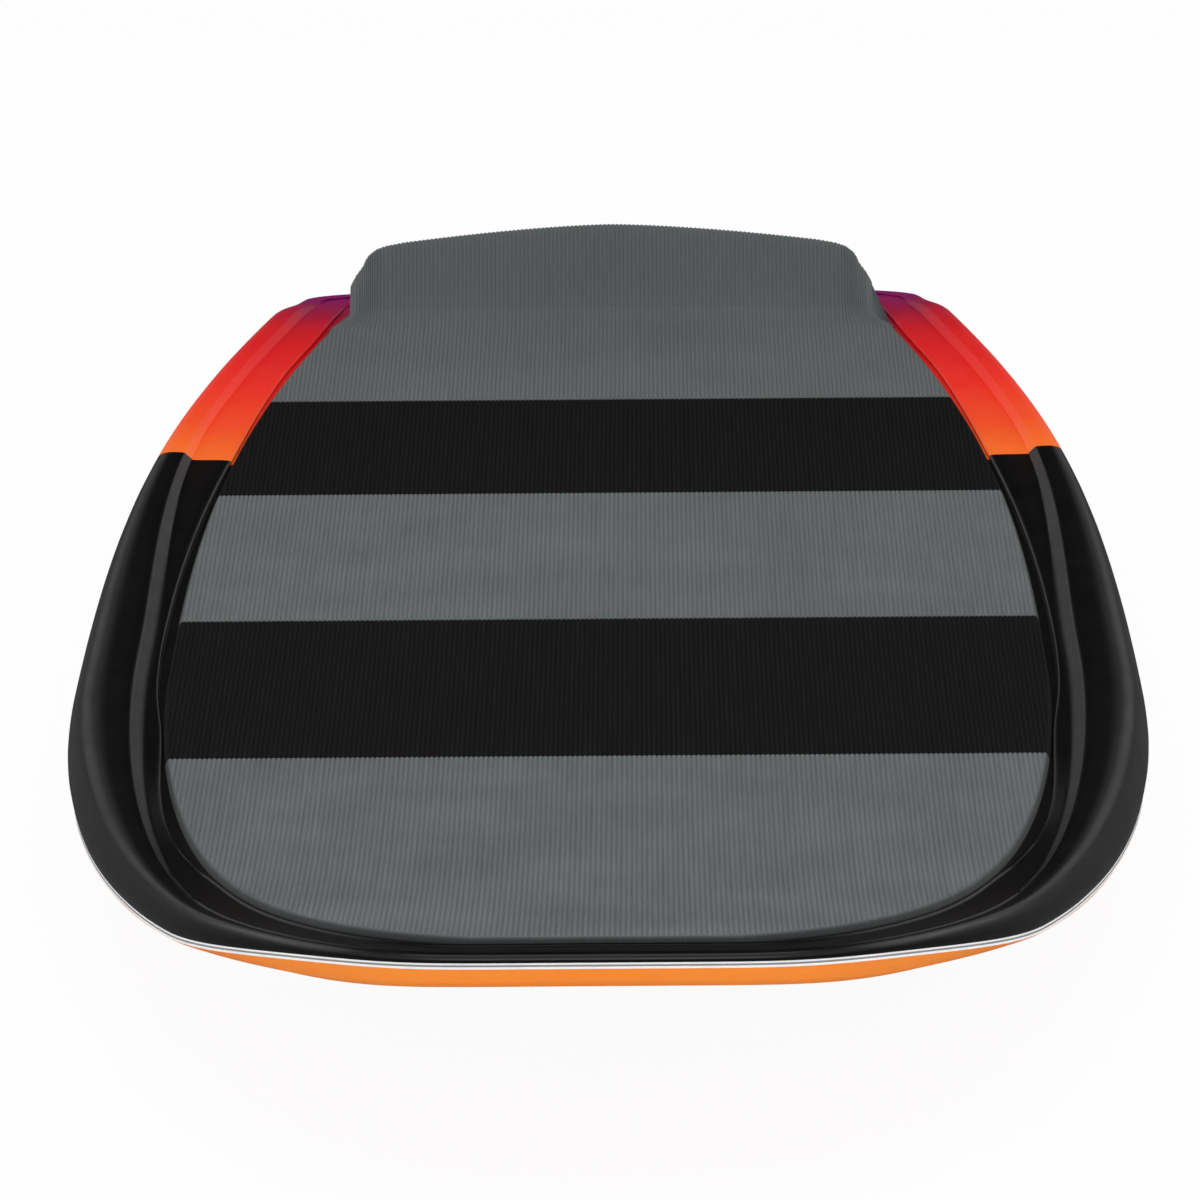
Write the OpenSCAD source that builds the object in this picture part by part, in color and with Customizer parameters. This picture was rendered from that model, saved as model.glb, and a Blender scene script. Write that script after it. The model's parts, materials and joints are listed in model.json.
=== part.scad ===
// Short foil board: foam core, two laminate skins, pinline round the rail,
// grooved deck pad with a kick, two mast tracks with nuts, vent and leash plug.
// X runs across the board, the nose points to -Y, Z is up, the bottom is at Z 0.

/* [Board] */
// overall length, nose tip to tail
board_len = 1410; // [1150:5:1700]
// overall width at the widest station
board_width = 562; // [440:2:700]
// height of the deck above the flat of the bottom, under the pad
deck_height = 80; // [60:1:120]
// how far the nose tip of the deck rises above the middle of the deck
nose_rise = 42; // [20:1:70]
// thickness of the nose at its very tip
nose_thickness = 16; // [12:1:34]
// how far the bottom lifts at the tail
tail_lift = 12; // [0:1:25]
// height of the raised rail above the recessed deck
rim_rise = 8; // [4:0.5:12]
// thickness of the laminate skins
skin_thickness = 1.2; // [0.8:0.1:2.5]

/* [Pinline] */
// height of each white line
white_line = 1; // [0.6:0.1:2]
// height of the grey line between them
grey_line = 1; // [0.6:0.1:2]

/* [Deck pad] */
// thickness of the foam pad
pad_thickness = 4; // [3:0.5:6]
// distance from the nose tip to the front edge of the pad
pad_front = 31; // [26:1:80]
// half width of the pad at its widest station
pad_half = 230; // [180:0.5:236]
// height of the kick above the deck, at its middle
kick_height = 54; // [30:1:60]
// distance from the kick's foot to the tail
kick_foot = 115; // [100:1:140]
// distance from the back of the kick to the tail
kick_back = 53; // [36:1:80]

/* [Mast tracks] */
// distance between the centre lines of the two tracks
track_spacing = 90; // [80:1:100]
// length of each track
track_len = 254; // [200:1:330]
// distance from the tail to the back end of the tracks
track_setback = 266; // [200:1:320]
// width of a track body
track_width = 24; // [22:0.5:30]
// height of a track body
track_height = 24; // [20:0.5:30]
// width of the slot a bolt passes through
slot_width = 9.6; // [8.6:0.1:11]
// width of a nut
nut_width = 16; // [14:0.5:18]
// length of a nut
nut_len = 18; // [14:1:24]
// height of a nut
nut_height = 7; // [6:0.5:8]
// thread radius of a nut
nut_thread_r = 4; // [3:0.5:5]
// distance between the front and back bolts of a mast plate
bolt_pitch = 165; // [150:1:180]

/* [Plugs] */
// radius of the vent's flange
vent_flange_r = 14; // [12:0.5:18]
// radius of the vent's thread
vent_thread_r = 5; // [4:0.5:6]
// radius of the leash plug's flange
leash_flange_r = 17; // [15:0.5:20]
// radius of the leash pin
leash_pin_r = 2; // [1.5:0.25:3]

/* [Output] */
// which sub-part to draw

/* [Hidden] */
// clearance round a running fit, measured on the radius
run_gap = 0.08;
// glue line between the kick's cover and its core
core_gap = 0.3;
// clearance round a bonded plug
seat_gap = 0.06;
// glue line behind the pinline
line_gap = 0.025;
// clearance between a nut and its track, on each side and on top
nut_gap = 0.5;
half_w = board_width / 2;
yo = -board_len / 2;
seg_nose = 11;
seg_side = 14;
seg_tail = 11;
half_n = seg_nose + seg_side + seg_tail;
ring_n = 2 * half_n;
nose_cap = board_len * 0.1258;
tail_cap = board_len * 0.0142;
wide_at = board_len * 0.4106;
nose_run = board_len * 0.2837;
flat_from = board_len * 0.5217;
flat_to = board_len * 0.92;
pad_shelf = 29.5;
chine = 70;
track_back = board_len - track_setback;
track_front = track_back - track_len;
track_mid = (track_back + track_front) / 2;
lip = 6;
cavity_w = nut_width + 2 * nut_gap;
cavity_h = nut_height + nut_gap;
entry_len = nut_len + 4;
block_w = track_spacing + track_width + 36;
block_len = track_len + 70;
block_h = track_height + 16;
vent_at = [0, board_len * 0.573];
leash_at = [0, board_len - 155];
kick_from = board_len - kick_foot;
kick_to = board_len - kick_back;

function mix(a, b, t) = a + (b - a) * t;
function sm(a, b, x) = let (t = min(max((x - a) / (b - a), 0), 1)) t * t * (3 - 2 * t);
// half width of the board at u from the nose, before the nose and tail are rounded
function side_w(u) = u < wide_at
    ? half_w * (1 - 0.5055 * pow((wide_at - u) / wide_at, 1.943))
    : half_w * (1 - 0.333 * pow((u - wide_at) / (board_len - wide_at), 2.401));
// outline point i of the right hand side, as [x, u]
function rim_pt(i) = i <= seg_nose
    ? let (a = 90 * i / seg_nose, u = nose_cap * (1 - cos(a)))
      [side_w(u) * pow(sin(a), 2 / 6.9), u]
    : i <= seg_nose + seg_side
    ? let (u = mix(nose_cap, board_len - tail_cap, (i - seg_nose) / seg_side)) [side_w(u), u]
    : let (a = 90 * (half_n - i) / seg_tail, u = board_len - tail_cap * (1 - cos(a)))
      [side_w(u) * pow(sin(a), 2 / 4.95), u];
rim = [for (i = [0:ring_n - 1]) i <= half_n
    ? rim_pt(i)
    : let (p = rim_pt(ring_n - i)) [-p[0], p[1]]];
// the point of the board's spine that an outline point is drawn in towards
function spine(p) = [0, min(max(p[1], board_len * 0.1667), board_len * 0.86)];
function inset(p, d) = let (s = spine(p), l = norm(s - p)) p + (s - p) * (d / l);
// deck and bottom heights along the board, then the raised rail and the seam
function deck_z(u) = deck_height + (u < nose_run ? nose_rise * pow(1 - pow(u / nose_run, 1.2), 2.6) : 0);
function bottom_z(u) = u < flat_from
    ? (deck_height + nose_rise - nose_thickness) * pow(1 - u / flat_from, 2)
    : u < flat_to ? 0
    : tail_lift * pow((u - flat_to) / (board_len - flat_to), 2);
function rise(u) = rim_rise * mix(0.12, 1, sm(0.08, 0.33, u / board_len))
    * (1 - sm(0.935, 0.985, u / board_len));
function crest_z(u) = deck_z(u) + rise(u);
function seam_z(u) = mix(bottom_z(u), crest_z(u), mix(0.664, 0.417, sm(0, 0.126, u / board_len)));
function bevel(u) = mix(2, 30.8, sm(0, 0.12, u / board_len));
band = white_line * 2 + grey_line;
// how far in from the outline the middle of the rail's inner slope lies
rail_nose = 5;
rail_full = 38;
rail_tail = 21;
function rail_mid(u) = let (t = u / board_len)
    rail_nose + (rail_full - rail_nose) * sm(0, 0.4, t) - (rail_full - rail_tail) * sm(0.44, 0.78, t);
// how far in the crest starts, and where the rail has run out into the shelf
function rail_w(u) = max(3.5, rail_mid(u) / 2);
function shelf_d(u) = let (t = u / board_len)
    pad_shelf + 16.5 * sm(0.2, 0.36, t) - 5 * sm(0.7, 0.9, t);
// deck side of the rail, from the seam to the shelf: distance in from the outline, height
function deck_pt(k, p) =
    let (w = rail_w(p[1]), m = rail_mid(p[1]), v = min(w, 10),
         d = [0.22 * v, 0.05 * v, 0, 0.13 * w, 0.45 * w, w, 0.84 * m, 0.93 * m, 1.07 * m,
             1.16 * m, shelf_d(p[1])][k],
         q = inset(p, d), u = q[1], c = crest_z(u), s = seam_z(u) + band / 2, r = rise(u))
    [q[0], u, k == 0 ? s
        : k == 1 ? mix(s, c, 0.2)
        : k == 2 ? mix(s, c, 0.38)
        : k == 3 ? mix(s, c, 0.64)
        : k == 4 ? mix(s, c, 0.88)
        : k == 5 ? c
        : k == 6 ? c - 0.04 * r
        : k == 7 ? c - 0.2 * r
        : k == 8 ? c - 0.5 * r
        : k == 9 ? c - 0.6 * r
        : deck_z(u)];
// bottom side of the rail, from the seam to the inner end of the bevelled chine
function low_pt(k, p) =
    let (d = [0.22 * min(rail_w(p[1]), 10), 4, 8, 16, 40, chine][k], q = inset(p, d), u = q[1],
         s = seam_z(u) - band / 2, b = bottom_z(u), e = b + bevel(u) * (s - b) / 45)
    [q[0], u, k == 0 ? s
        : k == 1 ? mix(s, e, 0.4)
        : k == 2 ? mix(s, e, 0.75)
        : k == 3 ? e
        : k == 4 ? mix(e, b, 0.62)
        : b];
function row_of(k, low) = [for (p = rim) low ? low_pt(k, p) : deck_pt(k, p)];
deck_grid = [for (k = [0:10]) row_of(k, false)];
low_grid = [for (k = [0:5]) row_of(k, true)];
// a grid moved inwards by t, square to its own surface
function wrap(i) = (i + ring_n) % ring_n;
function inward(g, k, i, s) =
    let (a = g[k][wrap(i + 1)] - g[k][wrap(i - 1)],
         b = g[min(k + 1, len(g) - 1)][i] - g[max(k - 1, 0)][i],
         n = cross(a, b), l = norm(n)) n * (s / l);
function thinned(g, t, s) = [for (k = [0:len(g) - 1]) [for (i = [0:ring_n - 1])
    g[k][i] + t * (k == len(g) - 1 ? [0, 0, -s] : inward(g, k, i, -s))]];
deck_in = thinned(deck_grid, skin_thickness, 1);
low_in = thinned(low_grid, skin_thickness, -1);
// flat of the recessed deck as station and height, the pads stand on it
shelf = [for (i = [0:half_n]) [deck_grid[10][i][1], deck_grid[10][i][2]]];
function shelf_z(u) = lookup(u, shelf);

function flat(g) = [for (r = g) each r];
function seat(p) = [p[0], p[1] + yo, p[2]];
// triangles between rows of m points, row alt is cut along its other diagonal
function walls(n, m, alt = -1) = [for (k = [0:n - 2]) for (i = [0:m - 1])
    let (a = k * m + i, b = k * m + (i + 1) % m, c = (k + 1) * m + (i + 1) % m, d = (k + 1) * m + i)
    for (t = [0, 1]) k == alt ? (t == 0 ? [a, b, d] : [b, c, d]) : (t == 0 ? [a, b, c] : [a, c, d])];
// cross strips that close a ring from side to side
function strips(o, up) = [for (i = [0:half_n - 1])
    let (a = o + i, b = o + i + 1, c = o + (ring_n - i - 1), d = o + (ring_n - i) % ring_n,
         f = i == 0 ? [a, b, c] : i == half_n - 1 ? [a, b, d] : [a, b, c, d])
    for (t = [1:len(f) - 2]) up ? [f[0], f[t], f[t + 1]] : [f[0], f[t + 1], f[t]]];
function turned(fs) = [for (f = fs) [f[0], f[2], f[1]]];
// rows of rings, closed by strips at both ends
module rings(g, flip, alt = -1) {
    f = concat(walls(len(g), ring_n, alt), strips(0, false), strips((len(g) - 1) * ring_n, true));
    polyhedron([for (p = flat(g)) seat(p)], flip ? turned(f) : f);
}
// rows of rings that come back on themselves
module loop(g) {
    n = len(g);
    f = [for (k = [0:n - 1]) for (i = [0:ring_n - 1]) for (t = [0, 1])
        let (a = k * ring_n + i, b = k * ring_n + (i + 1) % ring_n,
             c = ((k + 1) % n) * ring_n + (i + 1) % ring_n, d = ((k + 1) % n) * ring_n + i)
        k == n - 1 ? (t == 0 ? [a, b, d] : [b, c, d]) : (t == 0 ? [a, b, c] : [a, c, d])];
    polyhedron([for (p = flat(g)) seat(p)], f);
}
// sections of m points, one after another, closed by a face at each end
module loft(s, flip) {
    m = len(s[0]);
    n = len(s);
    f = concat(walls(n, m),
        [for (t = [1:m - 2]) [0, t + 1, t]],
        [for (t = [1:m - 2]) [(n - 1) * m, (n - 1) * m + t, (n - 1) * m + t + 1]]);
    polyhedron([for (p = flat(s)) seat(p)], flip ? turned(f) : f);
}

function back_rows(g) = [for (k = [len(g) - 1:-1:0]) g[k]];

module tracks_space(c) {
    for (s = [-1, 1]) translate([s * track_spacing / 2, 0, 0])
        translate([-track_width / 2 - c, track_front + yo - c, -1])
            cube([track_width + 2 * c, track_len + 2 * c, track_height + 1 + c]);
}
module block_space(below) {
    translate([-block_w / 2, track_mid + yo - block_len / 2, skin_thickness - below])
        cube([block_w, block_len, block_h + below]);
}
module plug_space(at, r, fl, deep, body) {
    translate([at[0], at[1] + yo, -1]) cylinder(r = r + seat_gap, h = fl + 1, $fn = 64);
    translate([at[0], at[1] + yo, -1]) cylinder(r = body + seat_gap, h = deep + 1, $fn = 64);
}
vent_deep = 24;
leash_deep = 22;
flange_h = 2.5;
vent_body_r = vent_flange_r - 3.5;
leash_body_r = leash_flange_r - 3;

module foam_core() color([0.93, 0.93, 0.9]) difference() {
    rings(concat(back_rows(low_in), deck_in), true);
    block_space(1);
    plug_space(vent_at, vent_flange_r, flange_h, vent_deep, vent_body_r);
    plug_space(leash_at, leash_flange_r, flange_h, leash_deep, leash_body_r);
}
module deck_skin() color([0.06, 0.06, 0.07])
    rings(concat(back_rows(deck_grid), deck_in), false);
module bottom_skin() color([1, 0.5, 0.18]) difference() {
    rings(concat(back_rows(low_in), low_grid), false, len(low_in) - 1);
    tracks_space(0);
    plug_space(vent_at, vent_flange_r, flange_h, vent_deep, vent_body_r);
    plug_space(leash_at, leash_flange_r, flange_h, leash_deep, leash_body_r);
}
function mid_row(t, inner) = [for (i = [0:ring_n - 1])
    let (a = inner ? deck_in[0][i] : deck_grid[0][i], b = inner ? low_in[0][i] : low_grid[0][i])
    mix(a, b, t) - (inner ? line_gap : 0) * unit(low_in[0][i] - low_grid[0][i])];
function unit(v) = v / norm(v);
module line_band(t0, t1) loop([mid_row(t0, false), mid_row(t1, false),
    mid_row(t1, true), mid_row(t0, true)]);
module pinline_upper() color([0.95, 0.95, 0.95]) line_band(0, white_line / band);
module parting_line() color([0.6, 0.62, 0.62])
    line_band(white_line / band, (white_line + grey_line) / band);
module pinline_lower() color([0.95, 0.95, 0.95]) line_band((white_line + grey_line) / band, 1);

// half width of the pad at u
pad_wide = board_len * 0.4079;
pad_base = board_len * 0.0158;
function pad_w(u) = u < pad_wide
    ? pad_half * pow(1 - pow((pad_wide - u) / (pad_wide - pad_base), 2), 0.381)
    : pad_half * (1 - 0.298 * pow((u - pad_wide) / (board_len * 0.5383), 2.6));
pad_cuts = [pad_front, board_len * 0.305, board_len * 0.479, board_len * 0.656,
    board_len * 0.8, kick_from];
pad_bevel = 1.6;
function stations(a, b) = concat([a], [for (s = shelf) if (s[0] > a + 0.5 && s[0] < b - 0.5) s[0]], [b]);
function pad_sect(u, f, b) = let (w = pad_w(u), z = shelf_z(u), y = u + f)
    [[-w, u, z], [-w + pad_bevel, u + b, z + pad_thickness],
     [w - pad_bevel, u + b, z + pad_thickness], [w, u, z]];
module pad_piece(k) {
    a = pad_cuts[k];
    b = pad_cuts[k + 1];
    st = stations(a, b);
    loft([for (u = st) pad_sect(u, 0, k == 0 && u == a ? pad_bevel : 0)], true);
}
pad_grey = [0.42, 0.44, 0.44];
pad_black = [0.1, 0.1, 0.11];
module pad_front_piece() color(pad_grey) pad_piece(0);
module pad_band_front() color(pad_black) pad_piece(1);
module pad_centre() color(pad_grey) pad_piece(2);
module pad_band_rear() color(pad_black) pad_piece(3);
module pad_rear() color(pad_grey) pad_piece(4);

// kick: share of its run, share of its height and how far its core steps back, foot to back
kick_curve = [[0, 0, 0], [0.2, 0.03, 0], [0.34, 0.1, 0.2], [0.42, 0.18, 0.4], [0.5, 0.3, 0.6],
    [0.6, 0.48, 0.8], [0.7, 0.67, 0.9], [0.78, 0.82, 0.9], [0.84, 0.93, 0.8], [0.9, 1, 0.3],
    [0.96, 0.97, -0.5], [1, 0.86, -1], [1, 0, -1]];
kick_run = kick_to - kick_from;
kick_foot_w = pad_w(kick_from);
kick_taper = 12;
function kick_scale(x) = let (t = abs(x) / kick_foot_w)
    max(0.02, (1 - 0.296 * pow(t, 1.49)) * (1 - min(1, pow(max(t - 0.8, 0) / 0.14, 1.7))));
// the sides of the kick draw in behind its foot
function kick_in(x, run) = x - sign(x) * kick_taper * sm(0.8, 1, abs(x) / kick_foot_w) * sm(0, 0.45, run);
function kick_pts(x, g, e) = let (s = kick_scale(kick_in(x, 1)), z0 = deck_height, h = kick_height - pad_thickness,
    pull = 0.13 * kick_run * pow(abs(x) / kick_foot_w, 2))
    [for (k = [0:len(kick_curve) - 1]) let (c = kick_curve[k])
        [kick_in(x, c[0]), kick_from + c[0] * kick_run - pull * c[1] + g * c[2],
         k == len(kick_curve) - 1 ? z0 - e : z0 + pad_thickness - g + c[1] * h * s]];
kick_x = [for (t = [-1, -0.985, -0.96, -0.94, -0.91, -0.88, -0.84, -0.8, -0.65, -0.4, 0, 0.4, 0.65,
    0.8, 0.84, 0.88, 0.91, 0.94, 0.96, 0.985, 1]) t * kick_foot_w];
function capped(x, g, e) = concat([[x, kick_from, deck_height - e]], kick_pts(x, g, e));
// the kick's block, moved in by g and let down below the deck by e
module kick_body(g, e) loft([for (x = kick_x) capped(x, g, e)], false);
module kick_core_box(c) {
    w = kick_foot_w * 0.9 + c;
    translate([-w, kick_from + yo + 12 - c, deck_height - 2])
        cube([2 * w, kick_run + 2 * c, kick_height + 5]);
}
module kick_riser() color([0.25, 0.26, 0.27]) intersection() {
    kick_body(pad_thickness, 0);
    kick_core_box(0);
}
module kick_cover() color(pad_grey) difference() {
    kick_body(0, 0);
    intersection() {
        kick_body(pad_thickness - core_gap, 1);
        kick_core_box(core_gap);
    }
}

module mast_block() color([0.85, 0.78, 0.6]) difference() {
    block_space(0);
    tracks_space(0);
}
module track(s) color([0.12, 0.12, 0.13]) translate([s * track_spacing / 2, yo, 0]) difference() {
    translate([-track_width / 2, track_front, 0]) cube([track_width, track_len, track_height]);
    translate([-slot_width / 2, track_front + 6, -1])
        cube([slot_width, track_len - 12, track_height - 2]);
    translate([-cavity_w / 2, track_front + 6, lip]) cube([cavity_w, track_len - 12, cavity_h]);
    translate([-cavity_w / 2, track_mid - entry_len / 2, -1]) cube([cavity_w, entry_len, lip + 2]);
}
module track_left() track(-1);
module track_right() track(1);
module nut(sx, sy) color([0.78, 0.66, 0.35])
    translate([sx * track_spacing / 2, track_mid + sy * bolt_pitch / 2 + yo, lip]) difference() {
        translate([-nut_width / 2, -nut_len / 2, 0]) cube([nut_width, nut_len, nut_height]);
        translate([0, 0, -1]) cylinder(r = nut_thread_r, h = nut_height + 2, $fn = 48);
    }
module nut_front_left() nut(-1, -1);
module nut_front_right() nut(1, -1);
module nut_back_left() nut(-1, 1);
module nut_back_right() nut(1, 1);

vent_head_r = vent_body_r - 2;
head_h = 3;
pocket_h = 4.4;
vent_end = vent_deep - 3;
module vent_housing() color([0.15, 0.15, 0.16]) translate([vent_at[0], vent_at[1] + yo, 0])
    difference() {
        union() {
            cylinder(r = vent_flange_r, h = flange_h, $fn = 64);
            cylinder(r = vent_body_r, h = vent_deep, $fn = 64);
        }
        translate([0, 0, -1]) cylinder(r = vent_head_r + 0.4, h = pocket_h + 1, $fn = 64);
        translate([0, 0, -1]) cylinder(r = vent_thread_r, h = vent_end + 1, $fn = 64);
        translate([0, 0, 1]) cylinder(r = 1, h = vent_deep, $fn = 32);
    }
module vent_screw() color([0.75, 0.75, 0.74]) translate([vent_at[0], vent_at[1] + yo, 0])
    difference() {
        union() {
            translate([0, 0, 0.4]) cylinder(r = vent_head_r, h = head_h, $fn = 64);
            translate([0, 0, 0.4]) cylinder(r = vent_thread_r - run_gap, h = 15, $fn = 64);
        }
        translate([-vent_head_r - 1, -1, -1]) cube([2 * vent_head_r + 2, 2, 2.6]);
    }
module vent_oring() color([0.1, 0.1, 0.1]) translate([vent_at[0], vent_at[1] + yo, 0.4 + head_h])
    rotate_extrude($fn = 64) translate([vent_thread_r + 1.2, 0.5]) circle(r = 0.5, $fn = 32);
module vent_membrane() color([0.9, 0.9, 0.92]) translate([vent_at[0], vent_at[1] + yo, vent_end - 0.6])
    cylinder(r = vent_thread_r, h = 0.6, $fn = 64);

cup_r = leash_body_r - 3;
module leash_cup() color([0.1, 0.1, 0.11]) translate([leash_at[0], leash_at[1] + yo, 0])
    difference() {
        union() {
            cylinder(r = leash_flange_r, h = flange_h, $fn = 64);
            cylinder(r = leash_body_r, h = leash_deep, $fn = 64);
        }
        translate([0, 0, -1]) cylinder(r = cup_r, h = leash_deep - 2, $fn = 64);
        translate([-leash_body_r + 1, 0, 6]) rotate([0, 90, 0])
            cylinder(r = leash_pin_r, h = 2 * leash_body_r - 2, $fn = 48);
    }
module leash_pin() color([0.75, 0.76, 0.78])
    translate([leash_at[0] - leash_body_r + 1, leash_at[1] + yo, 6]) rotate([0, 90, 0])
        cylinder(r = leash_pin_r, h = 2 * leash_body_r - 2, $fn = 48);

foam_core();
deck_skin();
bottom_skin();
pinline_upper();
parting_line();
pinline_lower();
pad_front_piece();
pad_band_front();
pad_centre();
pad_band_rear();
pad_rear();
kick_riser();
kick_cover();
mast_block();
track_left();
track_right();
nut_front_left();
nut_front_right();
nut_back_left();
nut_back_right();
vent_housing();
vent_screw();
vent_oring();
vent_membrane();
leash_cup();
leash_pin();
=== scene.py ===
import json
import math
import bpy
import bmesh
import numpy as np
from mathutils import Matrix, Vector


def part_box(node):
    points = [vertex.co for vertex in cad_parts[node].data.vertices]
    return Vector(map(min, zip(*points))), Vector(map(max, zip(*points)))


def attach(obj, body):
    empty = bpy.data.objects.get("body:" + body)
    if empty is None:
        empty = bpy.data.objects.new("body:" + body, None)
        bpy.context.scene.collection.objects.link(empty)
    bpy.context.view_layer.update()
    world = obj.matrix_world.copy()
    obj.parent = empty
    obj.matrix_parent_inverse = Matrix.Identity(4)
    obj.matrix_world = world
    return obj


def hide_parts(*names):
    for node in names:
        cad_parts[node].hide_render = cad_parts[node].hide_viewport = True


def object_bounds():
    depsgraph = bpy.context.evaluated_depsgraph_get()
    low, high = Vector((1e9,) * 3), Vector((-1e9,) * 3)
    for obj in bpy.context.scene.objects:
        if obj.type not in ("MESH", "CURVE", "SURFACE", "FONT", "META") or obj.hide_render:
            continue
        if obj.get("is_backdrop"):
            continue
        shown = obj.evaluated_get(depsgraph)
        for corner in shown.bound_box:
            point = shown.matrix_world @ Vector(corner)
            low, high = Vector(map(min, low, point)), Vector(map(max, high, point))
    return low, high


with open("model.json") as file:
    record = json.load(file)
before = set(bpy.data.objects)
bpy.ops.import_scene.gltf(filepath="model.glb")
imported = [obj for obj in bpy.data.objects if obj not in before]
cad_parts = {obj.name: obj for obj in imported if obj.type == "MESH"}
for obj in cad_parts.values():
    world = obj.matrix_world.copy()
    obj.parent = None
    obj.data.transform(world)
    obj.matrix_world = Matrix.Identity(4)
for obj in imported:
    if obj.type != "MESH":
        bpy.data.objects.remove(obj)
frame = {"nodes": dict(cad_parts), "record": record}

cad_lo, cad_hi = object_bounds()

# ---------------------------------------------------------------- board facts
# millimetres, with u measured from the nose tip towards the tail
L = (cad_hi.y - cad_lo.y) * 1000
HALF_W = (cad_hi.x - cad_lo.x) * 500 - 0.03
DECK, NOSE_RISE, NOSE_THICK, TAIL_LIFT, RIM = 80.0, 42.0, 16.0, 12.0, 8.0
NOSE_CAP, TAIL_CAP, WIDE_AT = L * 0.1258, L * 0.0142, L * 0.4106
NOSE_RUN, FLAT_FROM, FLAT_TO = L * 0.2837, L * 0.5217, L * 0.92
SHELF, CHINE, BAND, SKIN = 29.5, 70.0, 3.0, 1.2
PAD_T, PAD_HALF, PAD_WIDE, PAD_BASE = 4.0, 230.0, L * 0.4079, L * 0.0158
PAD_NOSE, PAD_TAIL, PAD_FALL = 0.381, 2.6, 0.298
PAD_CUTS = [31.0, L * 0.305, L * 0.479, L * 0.656, L * 0.8, L - 115]
KICK_FROM, KICK_TO, KICK_H = L - 115, L - 53, 53.9
RIB_PITCH = 2.5
BEVEL, UPRIGHT = 2.4, 0.5          # width of the pad's bevelled edge, and height of the upright below it
HAIRLINE = 0.35                    # depth of the line where two pieces of the pad meet
EDGE_ZONE = 6.0                    # depth of the finely divided zone at the ends of each column of the pad
PAINT_Y = 0.298          # where the black of the deck gives way to the faded tail, metres


def mix(a, b, t):
    return a + (b - a) * t


def ease(a, b, x):
    """0 before a, 1 after b, and a cubic ease between them."""
    t = np.clip((x - a) / (b - a), 0, 1)
    return t * t * (3 - 2 * t)


def side_w(u):
    """Half width of the board before its ends are rounded: two power curves that meet at the widest station."""
    return np.where(
        u < WIDE_AT,
        HALF_W * (1 - 0.5055 * np.clip((WIDE_AT - u) / WIDE_AT, 0, 1) ** 1.943),
        HALF_W * (1 - 0.333 * np.clip((u - WIDE_AT) / (L - WIDE_AT), 0, 1) ** 2.401),
    )


def rim(n_nose=90, n_side=120, n_tail=50):
    """The outline as a closed ring: a superellipse nose, the sides, a tighter superellipse tail, all mirrored."""
    a = np.radians(90 * np.linspace(0, 1, n_nose + 1))
    u1 = NOSE_CAP * (1 - np.cos(a))
    x1 = side_w(u1) * np.sin(a) ** (2 / 6.9)
    u2 = np.linspace(NOSE_CAP, L - TAIL_CAP, n_side + 1)[1:]
    b = np.radians(90 * np.linspace(1, 0, n_tail + 1)[1:])
    u3 = L - TAIL_CAP * (1 - np.cos(b))
    x3 = side_w(u3) * np.clip(np.sin(b), 0, 1) ** (2 / 4.95)
    x = np.r_[x1, side_w(u2), x3]
    u = np.r_[u1, u2, u3]
    # even out the spacing, which the superellipse bunches near its flat front
    s = np.r_[0, np.cumsum(np.hypot(np.diff(x), np.diff(u)))]
    k = ease(0, 1, np.linspace(0, 1, 261)) * 0.35 + np.linspace(0, 1, 261) * 0.65
    x, u = np.interp(k * s[-1], s, x), np.interp(k * s[-1], s, u)
    return np.c_[np.r_[x, -x[-2:0:-1]], np.r_[u, u[-2:0:-1]]]


def inset(ring, d):
    """The ring drawn in by d towards the nearest point of the board's spine."""
    spine = np.c_[np.zeros(len(ring)), np.clip(ring[:, 1], L * 0.1667, L * 0.86)]
    v = spine - ring
    return ring + v * (d / np.linalg.norm(v, axis=1))[:, None]


def deck_z(u):
    """Height of the recessed deck: flat, and swept up to the nose."""
    return DECK + NOSE_RISE * np.clip(1 - np.clip(u / NOSE_RUN, 0, 1) ** 1.2, 0, 1) ** 2.6


def bottom_z(u):
    """Height of the bottom: rocker at the nose, flat, and a small lift at the tail."""
    return np.where(
        u < FLAT_FROM,
        (DECK + NOSE_RISE - NOSE_THICK) * np.clip(1 - u / FLAT_FROM, 0, 1) ** 2,
        TAIL_LIFT * np.clip((u - FLAT_TO) / (L - FLAT_TO), 0, 1) ** 2,
    )


def rise(u):
    """Height of the raised rail over the deck, which dies away at the nose and the tail."""
    return RIM * mix(0.12, 1, ease(0.08, 0.33, u / L)) * (1 - ease(0.935, 0.985, u / L))


def crest_z(u):
    """Height of the rail's crest."""
    return deck_z(u) + rise(u)


def seam_z(u):
    """Height of the middle of the seam between deck and bottom: high at the nose, below the middle elsewhere."""
    return mix(bottom_z(u), crest_z(u), mix(0.664, 0.417, ease(0, 0.126, u / L)))


def rail_mid(u):
    """How far in the middle of the rail's inner slope lies: 5 mm at the nose, 38 at the sides, 21 at the tail."""
    return 5 + 33 * ease(0, 0.4, u / L) - 17 * ease(0.44, 0.78, u / L)


def shelf_d(u):
    """How far in the rail has run out into the flat deck, a little farther round the shoulders."""
    t = u / L
    shoulder = 4 * ease(0.06, 0.16, t) * (1 - ease(0.3, 0.46, t))
    return SHELF + 16.5 * ease(0.2, 0.36, t) - 5 * ease(0.7, 0.9, t) + shoulder


def smooth_rows(knots, per):
    """A Catmull-Rom curve through rows of knots, per steps to each gap, with its ends doubled."""
    k = np.asarray(knots, float)
    k = np.concatenate([2 * k[:1] - k[1:2], k, 2 * k[-1:] - k[-2:-1]])
    t = np.linspace(0, 1, per, endpoint=False)[:, None]
    out = [
        0.5 * (2 * b + (c - a) * t + (2 * a - 5 * b + 4 * c - d) * t ** 2 + (3 * b - a - 3 * c + d) * t ** 3)
        for a, b, c, d in zip(k[:-3], k[1:-2], k[2:-1], k[3:])
    ]
    return np.concatenate(out + [k[-2:-1]])


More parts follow.
